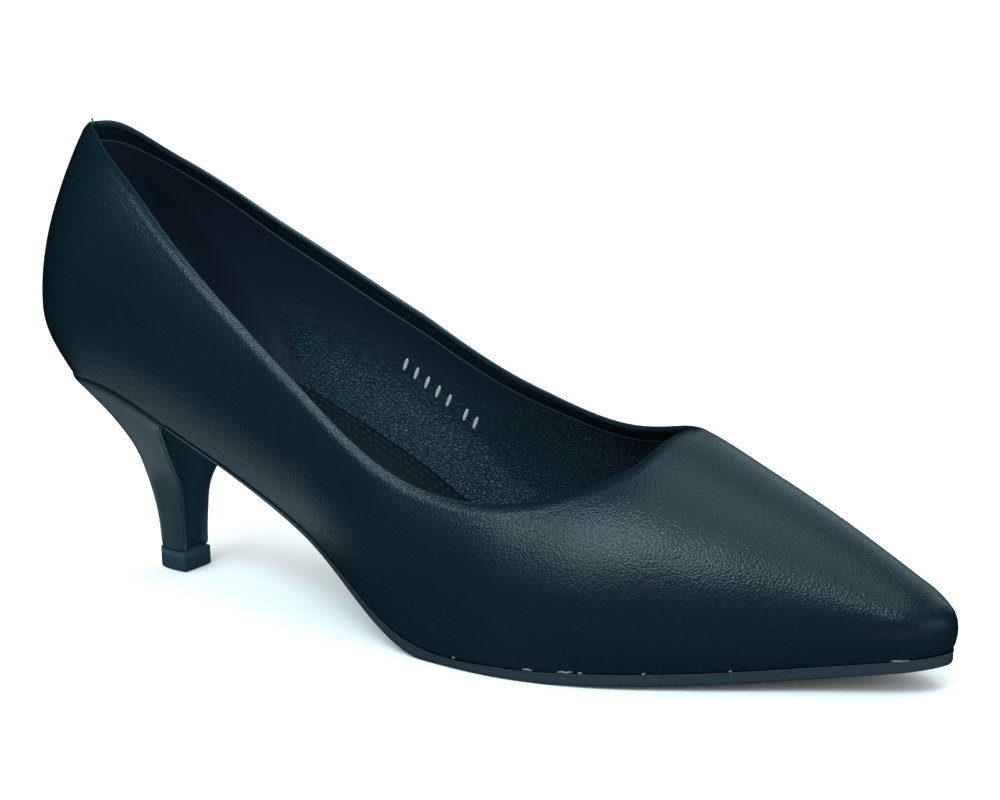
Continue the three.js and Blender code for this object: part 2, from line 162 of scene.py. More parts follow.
BED = curves(BED_COLUMNS, BED_ROWS, dict(
    lift=SEAT_LIFT, spring=TOE_SPRING, arch=ARCH_RISE, sole=SOLE_THICKNESS, bevel=WAIST_BEVEL))
SECTION = curves(SECTION_COLUMNS, SECTION_ROWS, dict(
    outer_foot=BALL_WIDTH, inner_foot=BALL_WIDTH, outer_wide=BALL_WIDTH, inner_wide=BALL_WIDTH,
    belly=THROAT_RISE, crest=THROAT_RISE, slim=1.0))
HEEL_PIVOT = SECTION_ROWS[0][0] * SHOE_LENGTH
TOE_PIVOT = SECTION_ROWS[-1][0] * SHOE_LENGTH
BALL_BED = SOLE_THICKNESS + FIT_GAP - TREAD_FLAT


def outer_bed_height(x):
    return BALL_BED + BED["lift"](x) + BED["spring"](x)


def bed_height(x, y):
    left = SECTION["outer_foot"](x)
    across = np.clip((y + left) / (left + SECTION["inner_foot"](x)), 0, 1)
    return outer_bed_height(x) + BED["arch"](x) * across


def by_side(side, outer, inner):
    return np.where(side < 0, outer, inner)


def section_point(foot, wide, belly, crest, slim, level):
    share = np.clip(level / FOOT_SHARE, 0, 1)
    turn = np.clip((level - FOOT_SHARE) / (1 - FOOT_SHARE), 0, 1) * math.pi / 2
    low = level <= FOOT_SHARE
    low_half = foot + (wide - foot) * (1 - (1 - share) ** 2)
    high_half = wide * np.cos(turn) * (1 - slim * np.sin(turn) ** 2)
    half = np.where(low, low_half, high_half)
    rise = np.where(low, belly * share, belly + (crest - belly) * np.sin(turn))
    return half, rise, np.where(low, 0, np.sin(turn) ** 2)


def side_point(x, side, level):
    arch = by_side(side, 0, BED["arch"](x))
    foot = by_side(side, SECTION["outer_foot"](x), SECTION["inner_foot"](x))
    wide = by_side(side, SECTION["outer_wide"](x), SECTION["inner_wide"](x))
    belly = SECTION["belly"](x) - arch / 2
    return section_point(foot, wide, belly, SECTION["crest"](x) - arch, SECTION["slim"](x), level)


def end_point(end, reach, level):
    return section_point(end["foot"] * SHOE_LENGTH, reach, end["belly"] * THROAT_RISE,
                         end["crest"] * THROAT_RISE, end["slim"], level)


def wall_point(along, side, level):
    """A point of the upper's outside. Past a pivot, along holds the angle round the end."""
    along, side, level = np.broadcast_arrays(*(np.asarray(v, float) for v in (along, side, level)))
    x = np.clip(along, HEEL_PIVOT, TOE_PIVOT)
    half, rise, crown = side_point(x, side, level)
    px = x.copy()
    for end, pivot, forward, reach in (
        (HEEL_END, HEEL_PIVOT, -1, HEEL_PIVOT),
        (TOE_END, TOE_PIVOT, 1, SHOE_LENGTH - TOE_PIVOT),
    ):
        past = (along - pivot) * forward > 0
        angle = np.clip((along - pivot) * forward, 0, math.pi / 2)
        end_half, end_rise, _ = end_point(end, reach, level)
        near_half, near_rise, _ = side_point(pivot - forward * 0.5 + 0 * x, side, level)
        sin, cos = np.sin(angle), np.cos(angle)
        turned = half * cos + (half - near_half) / 0.5 * end_half * sin * cos
        slope = (rise - near_rise) / 0.5 * (cos * cos + crown * sin * sin)
        climbed = rise + slope * end_half * sin + (end_rise - rise) * sin * sin
        px = np.where(past, pivot + forward * end_half * sin, px)
        half, rise = np.where(past, turned, half), np.where(past, climbed, rise)
    z = outer_bed_height(px) + by_side(side, 0, BED["arch"](px)) + rise
    return np.stack([px, side * half, z], -1)


throat_rise = wall_point(THROAT_FROM_HEEL, OUTER, 1)[2] - outer_bed_height(THROAT_FROM_HEEL)
COLLAR_AT = [row[0] * THROAT_FROM_HEEL for row in COLLAR_ROWS] + [THROAT_FROM_HEEL]
COLLAR = {
    side: smooth_curve(
        COLLAR_AT,
        [row[column] * QUARTER_HEIGHT for row in COLLAR_ROWS] + [throat_rise],
        level_start=True,
    )
    for side, column in ((OUTER, 1), (INNER, 2))
}


def collar_level(along, side):
    """The level of the wall at which it meets the collar's height, found by halving."""
    low = np.full(along.shape, FOOT_SHARE)
    high = np.ones(along.shape)
    for _ in range(30):
        middle = (low + high) / 2
        point = wall_point(along, side, middle)
        below = point[..., 2] < outer_bed_height(point[..., 0]) + COLLAR[side](point[..., 0])
        low, high = np.where(below, middle, low), np.where(below, high, middle)
    return (low + high) / 2


def unfold(along, side, level):
    """Lays the wall flat: its crest is a line, and its foot lies FAN_REACH away all round."""
    reach = (1 - level) * FAN_REACH
    pivot = np.clip(along, HEEL_PIVOT, TOE_PIVOT)
    angle = along - pivot
    return np.stack([pivot + reach * np.sin(angle), side * reach * np.cos(angle)], -1)


def fold(flat):
    fx, fy = flat[..., 0], flat[..., 1]
    side = np.where(fy > 0, INNER, OUTER)
    pivot = np.clip(fx, HEEL_PIVOT, TOE_PIVOT)
    reach = np.hypot(fx - pivot, fy)
    angle = np.arctan2(fx - pivot, np.abs(fy))
    return wall_point(pivot + np.where(fx == pivot, 0, angle), side, 1 - reach / FAN_REACH)


def smoothstep(low, high, value):
    t = np.clip((value - low) / (high - low), 0, 1)
    return t * t * (3 - 2 * t)


def unit(vectors):
    return vectors / np.maximum(np.linalg.norm(vectors, axis=-1, keepdims=True), 1e-9)


# From the last's own millimetres to the part's frame in metres

OUTER_REACH = 40.2
upper_low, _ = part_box("upper")
LAST_TO_PART = np.array([upper_low.x * 1000, upper_low.y * 1000 + OUTER_REACH, 0.0])


def metres(points):
    return (np.asarray(points, float) + LAST_TO_PART) / 1000


def add_mesh(name, points, faces, materials, slots=None):
    mesh = bpy.data.meshes.new(name)
    mesh.from_pydata(metres(points).tolist(), [], faces)
    for material in materials:
        mesh.materials.append(material)
    if slots is not None:
        mesh.polygons.foreach_set("material_index", np.asarray(slots, np.int32))
    mesh.polygons.foreach_set("use_smooth", [True] * len(mesh.polygons))
    mesh.validate()
    mesh.update()
    piece = bpy.data.objects.new(name, mesh)
    bpy.context.scene.collection.objects.link(piece)
    return piece


def ring_faces(rings, count, looped):
    """Faces between rings of points. Looped, the last ring joins the first one too."""
    faces = []
    for r in range(rings if looped else rings - 1):
        a, b = r * count, (r + 1) % rings * count
        for i in range(count):
            j = (i + 1) % count
            faces.append((a + i, a + j, b + j, b + i))
    return faces


def weld(piece, distance=0.00001):
    """Joins points that lie on each other and drops what that closes up."""
    edit = bmesh.new()
    edit.from_mesh(piece.data)
    bmesh.ops.remove_doubles(edit, verts=edit.verts, dist=distance)
    bmesh.ops.dissolve_degenerate(edit, edges=edit.edges, dist=distance / 2)
    bmesh.ops.recalc_face_normals(edit, faces=edit.faces)
    edit.to_mesh(piece.data)
    edit.free()
    piece.data.polygons.foreach_set("use_smooth", [True] * len(piece.data.polygons))


def dress(piece, slot, *nodes):
    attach(piece, "root")
    if nodes:
        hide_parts(*nodes)


# Materials

def shader(name, base, roughness, specular=0.3, coat=0.0, coat_roughness=0.3):
    material = bpy.data.materials.new(name)
    material.use_nodes = True
    nodes, links = material.node_tree.nodes, material.node_tree.links
    principled = nodes["Principled BSDF"]
    principled.inputs["Base Color"].default_value = (*base, 1)
    principled.inputs["Roughness"].default_value = roughness
    principled.inputs["Specular IOR Level"].default_value = specular
    principled.inputs["Coat Weight"].default_value = coat
    principled.inputs["Coat Roughness"].default_value = coat_roughness
    return material, nodes, links, principled


def place_of(nodes):
    return nodes.new("ShaderNodeTexCoord").outputs["Object"]


def noise(nodes, links, vector, scale, detail=3.0, roughness=0.55):
    texture = nodes.new("ShaderNodeTexNoise")
    texture.inputs["Scale"].default_value = scale
    texture.inputs["Detail"].default_value = detail
    texture.inputs["Roughness"].default_value = roughness
    links.new(vector, texture.inputs["Vector"])
    return texture.outputs["Fac"]


def cells(nodes, links, vector, scale, feature="F1"):
    texture = nodes.new("ShaderNodeTexVoronoi")
    texture.feature = feature
    texture.inputs["Scale"].default_value = scale
    links.new(vector, texture.inputs["Vector"])
    return texture.outputs["Distance"]


def between(nodes, links, value, low, high, to_low, to_high):
    ranged = nodes.new("ShaderNodeMapRange")
    ranged.inputs["From Min"].default_value = low
    ranged.inputs["From Max"].default_value = high
    ranged.inputs["To Min"].default_value = to_low
    ranged.inputs["To Max"].default_value = to_high
    links.new(value, ranged.inputs["Value"])
    return ranged.outputs["Result"]


def tones(nodes, links, value, dark, light, target):
    ramp = nodes.new("ShaderNodeMix")
    ramp.data_type = "RGBA"
    ramp.inputs[6].default_value = (*dark, 1)
    ramp.inputs[7].default_value = (*light, 1)
    links.new(value, ramp.inputs[0])
    links.new(ramp.outputs[2], target)


def bump(nodes, links, height, distance, strength, before=None):
    node = nodes.new("ShaderNodeBump")
    node.inputs["Strength"].default_value = strength
    node.inputs["Distance"].default_value = distance
    links.new(height, node.inputs["Height"])
    if before is not None:
        links.new(before, node.inputs["Normal"])
    return node.outputs["Normal"]


def leather_material(name, dark, light, roughness, grain, depth, specular, coat):
    """Smooth corrected leather: fine pores, slow changes of tone, a satin finish."""
    material, nodes, links, principled = shader(name, dark, roughness, specular, coat, 0.34)
    vector = place_of(nodes)
    slow = between(nodes, links, noise(nodes, links, vector, 32, 2.0), 0.3, 0.7, 0, 1)
    tones(nodes, links, slow, dark, light, principled.inputs["Base Color"])
    fine = noise(nodes, links, vector, grain * 0.8, 3.0, 0.62)
    links.new(between(nodes, links, fine, 0.3, 0.7, roughness - 0.06, roughness + 0.07),
              principled.inputs["Roughness"])
    pores = cells(nodes, links, vector, grain)
    normal = bump(nodes, links, pores, 0.00012, depth)
    normal = bump(nodes, links, fine, 0.00016, depth * 0.8, normal)
    links.new(normal, principled.inputs["Normal"])
    return material


# The lining's borders: the grip ends on a slanting line through its edge, the smooth band
# under the facing ends on another, and the grain fills the front part between the two.
# The band is left in the darker smooth tone, painted shade where light falls off towards the topline.
GRIP_EDGE_X, GRIP_EDGE_Z, GRIP_SLANT = 53.9, 55.0, 0.66
SHADE_BAND_EDGE_X, SHADE_BAND_EDGE_Z, SHADE_BAND_SLANT = 60.0, 67.5, 0.30
GRAIN_ALL_FROM, GRAIN_ALL_TO = 112.0, 128.0
# Smooth tone: the grip's own colour, and painted shade in the band and in the grain's cracks. Pad tone:
# painted highlight on the grain's raised pads.
SMOOTH_AND_SHADED_LINING, PAD_HIGHLIGHT_LINING = (0.0001, 0.0105, 0.0270), (0.0036, 0.0250, 0.0370)


def lining_material(name):
    """Lining with a smooth heel grip, a smooth darker band under the facing and a pebble grain between. The
    band's darker tone is painted shade, and the grain's lighter pads and darker cracks are painted
    highlight and shade.
    """
    material, nodes, links, principled = shader(name, (0.004, 0.016, 0.026), 0.4, 0.5)
    vector = place_of(nodes)
    parts = nodes.new("ShaderNodeSeparateXYZ")
    links.new(vector, parts.inputs[0])

    def combine(operation, a, b):
        node = nodes.new("ShaderNodeMath")
        node.operation = operation
        for socket, value in ((node.inputs[0], a), (node.inputs[1], b)):
            if isinstance(value, (int, float)):
                socket.default_value = value
            else:
                links.new(value, socket)
        return node.outputs[0]

    x, z = parts.outputs["X"], parts.outputs["Z"]
    ragged = combine("MULTIPLY", combine("SUBTRACT", noise(nodes, links, vector, 420, 3.0), 0.5), 0.006)
    past_grip = combine("ADD", combine("ADD", x, combine("MULTIPLY", z, GRIP_SLANT)), ragged)
    grip_edge = (GRIP_EDGE_X + LAST_TO_PART[0] + GRIP_SLANT * GRIP_EDGE_Z) / 1000
    past_edge = between(nodes, links, past_grip, grip_edge + 0.0010, grip_edge + 0.0065, 0, 1)
    shade_band_edge = (SHADE_BAND_EDGE_Z + SHADE_BAND_SLANT * (SHADE_BAND_EDGE_X + LAST_TO_PART[0])) / 1000
    above = combine("ADD", combine("ADD", z, combine("MULTIPLY", x, SHADE_BAND_SLANT)), ragged)
    below_shade_band = between(nodes, links, above, shade_band_edge - 0.008, shade_band_edge + 0.001, 1, 0)
    grain_from, grain_to = ((at + LAST_TO_PART[0]) / 1000 for at in (GRAIN_ALL_FROM, GRAIN_ALL_TO))
    toward_toe = between(nodes, links, x, grain_from, grain_to, 0, 1)
    grained = combine("MULTIPLY", past_edge, combine("MAXIMUM", below_shade_band, toward_toe))

    bend = nodes.new("ShaderNodeTexNoise")
    bend.inputs["Scale"].default_value = 620
    links.new(vector, bend.inputs["Vector"])
    warp = nodes.new("ShaderNodeVectorMath")
    warp.operation = "MULTIPLY_ADD"
    warp.inputs[1].default_value = (0.0011, 0.0011, 0.0011)
    links.new(bend.outputs["Color"], warp.inputs[0])
    links.new(vector, warp.inputs[2])
    stretch = nodes.new("ShaderNodeMapping")
    stretch.inputs["Scale"].default_value = (0.62, 1.0, 1.15)
    stretch.inputs["Rotation"].default_value = (0, math.radians(-20), 0)
    links.new(warp.outputs["Vector"], stretch.inputs["Vector"])
    pads = cells(nodes, links, stretch.outputs["Vector"], 1250, "DISTANCE_TO_EDGE")
    raised = between(nodes, links, pads, 0.0, 0.13, 0, 1)
    relief = combine("MULTIPLY", raised, grained)
    # Tone from the grain's relief and the band: lighter pads, darker cracks and a dark band, as painted
    # highlight and shade.
    painted_pad_light_band_shade = combine("ADD", combine("MULTIPLY", relief, 0.75), combine("MULTIPLY", grained, 0.25))
    tones(nodes, links, painted_pad_light_band_shade, SMOOTH_AND_SHADED_LINING, PAD_HIGHLIGHT_LINING, principled.inputs["Base Color"])
    skin = between(nodes, links, painted_pad_light_band_shade, 0, 1, 0.70, 0.25)
    links.new(skin, principled.inputs["Roughness"])
    small = noise(nodes, links, vector, 1500, 3.0, 0.65)
    normal = bump(nodes, links, relief, 0.0003, 0.9)
    normal = bump(nodes, links, combine("MULTIPLY", small, grained), 0.00042, 0.9, normal)
    normal = bump(nodes, links, small, 0.0001, 0.3, normal)
    links.new(normal, principled.inputs["Normal"])
    return material


def plain_material(name, dark, light, roughness, specular, scale, depth):
    material, nodes, links, principled = shader(name, dark, roughness, specular)
    vector = place_of(nodes)
    rough = noise(nodes, links, vector, scale, 4.0, 0.6)
    shade = between(nodes, links, rough, 0.3, 0.7, 0, 1)
    tones(nodes, links, shade, dark, light, principled.inputs["Base Color"])
    links.new(between(nodes, links, rough, 0.3, 0.7, roughness - 0.08, roughness + 0.08),
              principled.inputs["Roughness"])
    links.new(bump(nodes, links, rough, 0.0002, depth), principled.inputs["Normal"])
    return material


upper_skin = leather_material("upper_leather", (0.0010, 0.0080, 0.0134), (0.0016, 0.0098, 0.0158),
                              0.30, 1900, 0.50, 0.38, 0.0)
facing_skin = leather_material("facing_leather", (0.0019, 0.0092, 0.0145), (0.0027, 0.0110, 0.0168),
                               0.46, 1900, 0.25, 0.26, 0.0)
# The rolled edge of the topline: a lighter copy of the upper leather, a painted highlight along the rim.
rim_highlight_skin = leather_material("rim_painted_highlight", (0.0060, 0.0180, 0.0250), (0.0080, 0.0210, 0.0290),
                            0.28, 1900, 0.15, 0.50, 0.0)
heel_skin = leather_material("heel_cover", (0.0018, 0.0088, 0.0142), (0.0026, 0.0110, 0.0172),
                             0.34, 1900, 0.25, 0.24, 0.02)
# The dished breast: a lighter copy of the heel cover, painted light on that face.
breast_lit_skin = leather_material("breast_cover_painted_light", (0.0034, 0.0225, 0.0350), (0.0038, 0.0245, 0.0380),
                               0.36, 1900, 0.04, 0.30, 0.0)
# The bead round the breast: a much lighter tone, a painted highlight along its ridge.
lip_highlight_skin = leather_material("breast_lip_painted_highlight", (0.0120, 0.0300, 0.0400), (0.0170, 0.0370, 0.0470),
                            0.30, 1900, 0.04, 0.50, 0.0)
lining_skin = lining_material("lining")
edge_skin = plain_material("lining_edge", (0.012, 0.028, 0.036), (0.030, 0.052, 0.062),
                           0.45, 0.4, 1200, 0.3)
sock_skin = leather_material("sock_lining", (0.0021, 0.0090, 0.0136), (0.0030, 0.0112, 0.0164),
                             0.46, 2000, 0.35, 0.26, 0.0)
thread_skin = plain_material("sewing_thread", (0.009, 0.020, 0.027), (0.020, 0.036, 0.045),
                             0.6, 0.3, 4000, 0.3)
sole_skin = plain_material("outsole_unit", (0.0105, 0.0225, 0.0300), (0.0150, 0.0290, 0.0370),
                           0.50, 0.30, 900, 0.5)
pad_skin = plain_material("top_piece_rubber", (0.0075, 0.0300, 0.0440), (0.0095, 0.0340, 0.0490),
                          0.5, 0.3, 1500, 0.3)
glue_skin = plain_material("dried_glue", (0.07, 0.09, 0.095), (0.16, 0.18, 0.18),
                           0.5, 0.4, 1800, 0.6)
foil_skin = plain_material("silver_foil", (0.30, 0.33, 0.34), (0.66, 0.69, 0.69),
                           0.35, 0.5, 2600, 0.6)

# Upper: outside, rolled topline, facing, lining edge and lining, in one closed wall

# Columns run from the back round the outer side to the toe and home by the inner side.
# They stand close together at the back, where the seam's furrow is.
HEEL_FAN = np.concatenate([[0.0, 0.015, 0.03, 0.05, 0.08], np.linspace(0.12, 1, 16)[:-1] * math.pi / 2])
SIDE_STEPS = 120
TOE_FAN_STEPS = 14
COLLAR_CROWDING = 1.8

heel_along = HEEL_PIVOT - math.pi / 2 + HEEL_FAN
side_along = np.linspace(HEEL_PIVOT, TOE_PIVOT, SIDE_STEPS, endpoint=False)
toe_along = TOE_PIVOT + np.linspace(0, math.pi / 2, TOE_FAN_STEPS + 1)
foot_along = np.concatenate([heel_along, side_along, toe_along])
half_count = len(foot_along) - 1
past_heel = np.clip((np.arange(len(foot_along)) - len(heel_along)) / (half_count - len(heel_along)), 0, 1)
collar_along = np.where(
    np.arange(len(foot_along)) < len(heel_along),
    foot_along,
    HEEL_PIVOT + (THROAT_FROM_HEEL - HEEL_PIVOT) * (1 - (1 - past_heel) ** COLLAR_CROWDING),
)


def side_ends(side):
    foot = unfold(foot_along, side, 0.0)
    collar = unfold(collar_along, side, collar_level(collar_along, side))
    collar[-1] = (THROAT_FROM_HEEL, 0)
    return foot, collar


outer_foot, outer_collar = side_ends(OUTER)
inner_foot, inner_collar = side_ends(INNER)
foot_flat = np.concatenate([outer_foot, inner_foot[-2:0:-1]])
collar_flat = np.concatenate([outer_collar, inner_collar[-2:0:-1]])
columns = len(foot_flat)

WALL_STEPS = 120
climbed = np.linspace(0, 1, WALL_STEPS + 1)[:, None, None]
wall = fold(foot_flat[None] * (1 - climbed) + collar_flat[None] * climbed)
run = np.roll(wall, -1, 1) - np.roll(wall, 1, 1)
climb = np.gradient(wall, axis=0)
normal = np.cross(run, climb)
normal[0, :, 2] = 0
normal = unit(normal)
depth = np.concatenate([
    np.zeros((1, columns)),
    np.cumsum(np.linalg.norm(np.diff(wall[::-1], axis=0), axis=-1), axis=0),
])
wall_down, normal_down = wall[::-1], normal[::-1]
full = depth[-1]


def at_depth(distance):
    """Point and normal of the outside, for each column, at a distance down from the rim."""
    points = np.empty((columns, 3))
    normals = np.empty((columns, 3))
    for c in range(columns):
        for k in range(3):
            points[c, k] = np.interp(distance[c], depth[:, c], wall_down[:, c, k])
            normals[c, k] = np.interp(distance[c], depth[:, c], normal_down[:, c, k])
    return points, unit(normals)


# The outside leans in towards the folded edge, from RIM_LEAN_DEPTH below the rim
NEAR_RIM = np.array([0.0, 0.35, 0.7, 1.1, 1.6, 2.2, 3.0, 4.0, 5.0])
RIM_LEAN, RIM_LEAN_DEPTH = 0.62, 3.2
SIDE_ROWS, LINING_ROWS = 45, 43
FEATHER_EDGE = 0.15
SKIN_OUTSIDE, SKIN_FACING, SKIN_LINING, SKIN_LINING_EDGE, SKIN_RIM_HIGHLIGHT = range(5)

# The folded edge from its outer to its inner corner: how far in, and how high over the rim
RIM_ROLL = (
    (0.65, 0.15), (0.72, 0.28), (0.82, 0.36), (0.94, 0.36), (1.10, 0.28), (1.33, 0.10), (1.53, -0.12),
    (1.65, -0.40), (1.71, -0.80), (1.71, -1.30),
)

# Faint creases at the counter, placed on the outer side: where along the shoe and how high,
# the way they run in degrees from level, half their length and width, and their depth
CREASES = (
    (22.0, 77.0, 68.0, 7.0, 1.7, 0.09),
    (27.5, 74.0, 80.0, 6.0, 1.8, 0.08),
    (33.0, 79.0, 58.0, 8.0, 2.0, 0.07),
    (16.0, 88.0, 62.0, 7.0, 1.9, 0.06),
)

# Inside rows: distance below the rim, wall thickness there and material
INSIDE = (
    (1.4, 1.68, SKIN_FACING), (1.6, 1.54, SKIN_FACING), (1.95, 1.52, SKIN_FACING),
    (2.2, 1.64, SKIN_FACING), (2.8, 1.71, SKIN_FACING), (3.8, 1.68, SKIN_FACING),
    (4.8, 1.62, SKIN_FACING), (5.25, 1.60, SKIN_FACING),
    (5.35, 1.72, SKIN_LINING_EDGE), (5.45, 1.81, SKIN_LINING_EDGE), (5.55, 1.83, SKIN_LINING_EDGE),
    (5.75, 1.82, SKIN_LINING), (6.6, 1.82, SKIN_LINING), (7.6, 1.82, SKIN_LINING),
)
GRIP_THICKNESS = 0.25


def seam_dent(points):
    """The closed seam down the back: a narrow furrow between two soft ridges."""
    y = np.abs(points[:, 1])
    back = smoothstep(12, 6, points[:, 0])
    return back * (-0.28 * np.exp(-((y / 0.3) ** 2)) + 0.07 * np.exp(-(((y - 0.9) / 0.5) ** 2)))


def crease_dent(points):
    """Soft troughs with a low ridge along each side, on the outer side only."""
    dent = np.zeros(len(points))
    for x, z, degrees, length, width, deep in CREASES:
        way = math.radians(degrees)
        across_x, across_z = points[:, 0] - x, points[:, 2] - z
        along_it = across_x * math.cos(way) + across_z * math.sin(way)
        across_it = across_x * math.sin(way) - across_z * math.cos(way)
        near = np.exp(-((along_it / length) ** 2)) * (points[:, 1] < 0)
        trough = np.exp(-((across_it / width) ** 2))
        ridge = 0.4 * np.exp(-(((np.abs(across_it) - 1.9 * width) / width) ** 2))
        dent += near * deep * (ridge - trough)
    return dent


def outside_row(distance, offset=0.0):
    points, normals = at_depth(distance)
    swell = seam_dent(points) + crease_dent(points) + offset
    return points + normals * np.reshape(swell, (-1, 1))


def grip_step(points):
    """The heel grip stands a little proud of the lining behind its slanting edge."""
    edge = GRIP_EDGE_X - GRIP_SLANT * (points[:, 2] - GRIP_EDGE_Z)
    return GRIP_THICKNESS * smoothstep(edge + 1.5, edge - 1.5, points[:, 0])


def inside_row(distance, thickness):
    points, normals = at_depth(distance)
    return points - normals * np.reshape(thickness, (-1, 1))


feather, feather_normal = at_depth(full)
rim, rim_normal = at_depth(np.zeros(columns))
rim_run = unit(np.roll(rim, -1, 0) - np.roll(rim, 1, 0))
rim_up = unit(np.cross(rim_normal, rim_run))


def feather_rows():
    for turn_in, drop in ((1.9, -0.06), (1.2, -0.08), (0.5, -0.08), (0.1, -0.05)):
        yield feather - feather_normal * turn_in + np.array([0, 0, drop]), SKIN_OUTSIDE


def outside_rows():
    for share in np.linspace(0, 1, SIDE_ROWS + 1)[1:]:
        distance = full * (1 - share) + NEAR_RIM[-1] * share
        yield outside_row(np.minimum(distance, full - FEATHER_EDGE)), SKIN_OUTSIDE
    for distance in NEAR_RIM[::-1][1:]:
        lean = RIM_LEAN * max(0, 1 - distance / RIM_LEAN_DEPTH) ** 2
        dip = 0.06 * math.exp(-((distance - 4.0) / 0.8) ** 2)
        yield outside_row(np.full(columns, distance), -lean - dip), SKIN_OUTSIDE


# The rolled edge's rows take the lighter rim tone, a painted highlight.
def rolled_rows():
    for across, rise in RIM_ROLL:
        yield rim - rim_normal * across + rim_up * rise, SKIN_RIM_HIGHLIGHT


def inside_rows():
    for distance, thickness, skin in INSIDE:
        yield inside_row(np.full(columns, distance), thickness), skin
    for share in np.linspace(0, 1, LINING_ROWS + 1)[1:]:
        distance = INSIDE[-1][0] * (1 - share) + full * share
        grip = smoothstep(0, 0.06, share) * grip_step(at_depth(distance)[0])
        yield inside_row(distance, UPPER_WALL + grip), SKIN_LINING


rows, row_skins = zip(*feather_rows(), *outside_rows(), *rolled_rows(), *inside_rows())
upper_points = np.concatenate(rows)
upper_faces = ring_faces(len(rows), columns, True)
upper = add_mesh("upper_leather", upper_points, upper_faces,
                 [upper_skin, facing_skin, lining_skin, edge_skin, rim_highlight_skin], np.repeat(row_skins, columns))
dress(upper, "upper_leather", "upper")

# Outlines of the bottom

def stations(start=None, heel_steps=22, steps=120, toe_steps=12):
    parts = []
    if start is None:
        parts.append(HEEL_PIVOT - math.pi / 2 * (1 - np.arange(heel_steps) / heel_steps))
    begin = HEEL_PIVOT if start is None else start
    parts.append(np.linspace(begin, TOE_PIVOT, steps, endpoint=False))
    parts.append(TOE_PIVOT + np.linspace(0, math.pi / 2, toe_steps + 1))
    return np.concatenate(parts)


def foot_line(along, side, rise=0.0):
    x = np.clip(along, HEEL_PIVOT, TOE_PIVOT)
    return wall_point(along, side, FOOT_SHARE * rise / SECTION["belly"](x))


def inward(line, side):
    """Level direction from an outline towards the middle of the shoe, at each of its points."""
    before = np.concatenate([line[:1], line[:-1]])
    after = np.concatenate([line[1:], line[-1:]])
    way = np.stack([side * (after[:, 1] - before[:, 1]), side * (before[:, 0] - after[:, 0]),
                    np.zeros(len(line))], -1)
    on_middle = np.abs(line[:, 1]) < 1e-6
    way[on_middle] = [-1, 0, 0]
    if on_middle[0]:
        way[0] = [1, 0, 0]
    return unit(way)


def wall_reach(along, side, rise):
    """How far in the wall's inside lies, measured level, at a height over the bed."""
    line = foot_line(along, side, rise)
    higher = foot_line(along, side, rise + 0.5)
    step = np.concatenate([line[1:], line[-1:]]) - np.concatenate([line[:1], line[:-1]])
    across = unit(np.cross(step, higher - line))
    return UPPER_WALL / np.abs((across * inward(line, side)).sum(-1))


def inset(line, side, distance):
    return line + inward(line, side) * np.reshape(distance * np.ones(len(line)), (-1, 1))


def on_bed(line, lift):
    moved = line.copy()
    moved[:, 2] = bed_height(line[:, 0], line[:, 1]) + lift
    return moved


def strip_between(a, b, count):
    share = np.linspace(0, 1, count + 1)[None, :, None]
    return a[:, None] * (1 - share) + b[:, None] * share


def close_rings(rings, name, materials, slots=None):
    """Closed piece from rings of points along the shoe, with a flat face at each end."""
    count = rings.shape[1]
    faces = ring_faces(len(rings), count, False)
    last = (len(rings) - 1) * count
    faces.append(tuple(range(count - 1, -1, -1)))
    faces.append(tuple(last + i for i in range(count)))
    piece = add_mesh(name, rings.reshape(-1, 3), faces, materials, slots)
    weld(piece)
    return piece


# Insole: sock lining over its board, with a rounded edge and three sewn rows

SOCK_CROWN = 0.25
insole_along = stations()
edge_lines = {}
for side in (OUTER, INNER):
    foot = foot_line(insole_along, side)
    low = on_bed(inset(foot, side, UPPER_WALL + FIT_GAP - SET_IN), 0)
    reach = wall_reach(insole_along, side, INSOLE_THICKNESS)
    raised = foot_line(insole_along, side, INSOLE_THICKNESS)
    high = on_bed(inset(raised, side, reach + FIT_GAP - SET_IN), INSOLE_THICKNESS)
    edge_lines[side] = (low, high)


def insole_top(line):
    half = SECTION["outer_foot"](line[..., 0]) + SECTION["inner_foot"](line[..., 0])
    return SOCK_CROWN * smoothstep(0, 0.2, 1 - np.abs(line[..., 1]) / half * 2)


def insole_profile(side):
    """Lines up the insole's edge: share of its height, pulled in by, and raised by."""
    low, high = edge_lines[side]
    steps = []
    for share, pull, rise in (
        (0.0, 0, 0.0), (0.6, 0, 0.0), (1.0, 0.05, -0.45), (1.0, 0.25, -0.15), (1.0, 0.7, 0.0),
    ):
        line = low * (1 - share) + high * share
        steps.append(inset(line, side, pull) + np.array([0, 0, rise]))
    return steps


outer_steps, inner_steps = insole_profile(OUTER), insole_profile(INNER)
top = strip_between(inner_steps[-1], outer_steps[-1], 28)[:, 1:-1]
top[..., 2] = bed_height(top[..., 0], top[..., 1]) + INSOLE_THICKNESS + insole_top(top)
bottom = strip_between(outer_steps[0], inner_steps[0], 8)[:, 1:-1]
rings = np.concatenate([bottom, np.stack(inner_steps, 1), top, np.stack(outer_steps[::-1], 1)], 1)
insole = close_rings(rings, "insole_sock", [sock_skin])
dress(insole, "sock_lining", "insole")


BAR_SIDES = 6


def bar(base, up, width, height):
    """Low rounded bar along a path of points, with its up direction at each point."""
    ahead = unit(np.gradient(base, axis=0))
    across = unit(np.cross(ahead, up))
    taper = np.sin(np.linspace(0.12, math.pi - 0.12, len(base))) ** 0.4
    ring = []
    for k in range(BAR_SIDES):
        angle = 2 * math.pi * k / BAR_SIDES
        spoke = across * math.cos(angle) * width / 2 + up * math.sin(angle) * height
        ring.append(base + spoke * taper[:, None])
    return np.stack(ring, 1)


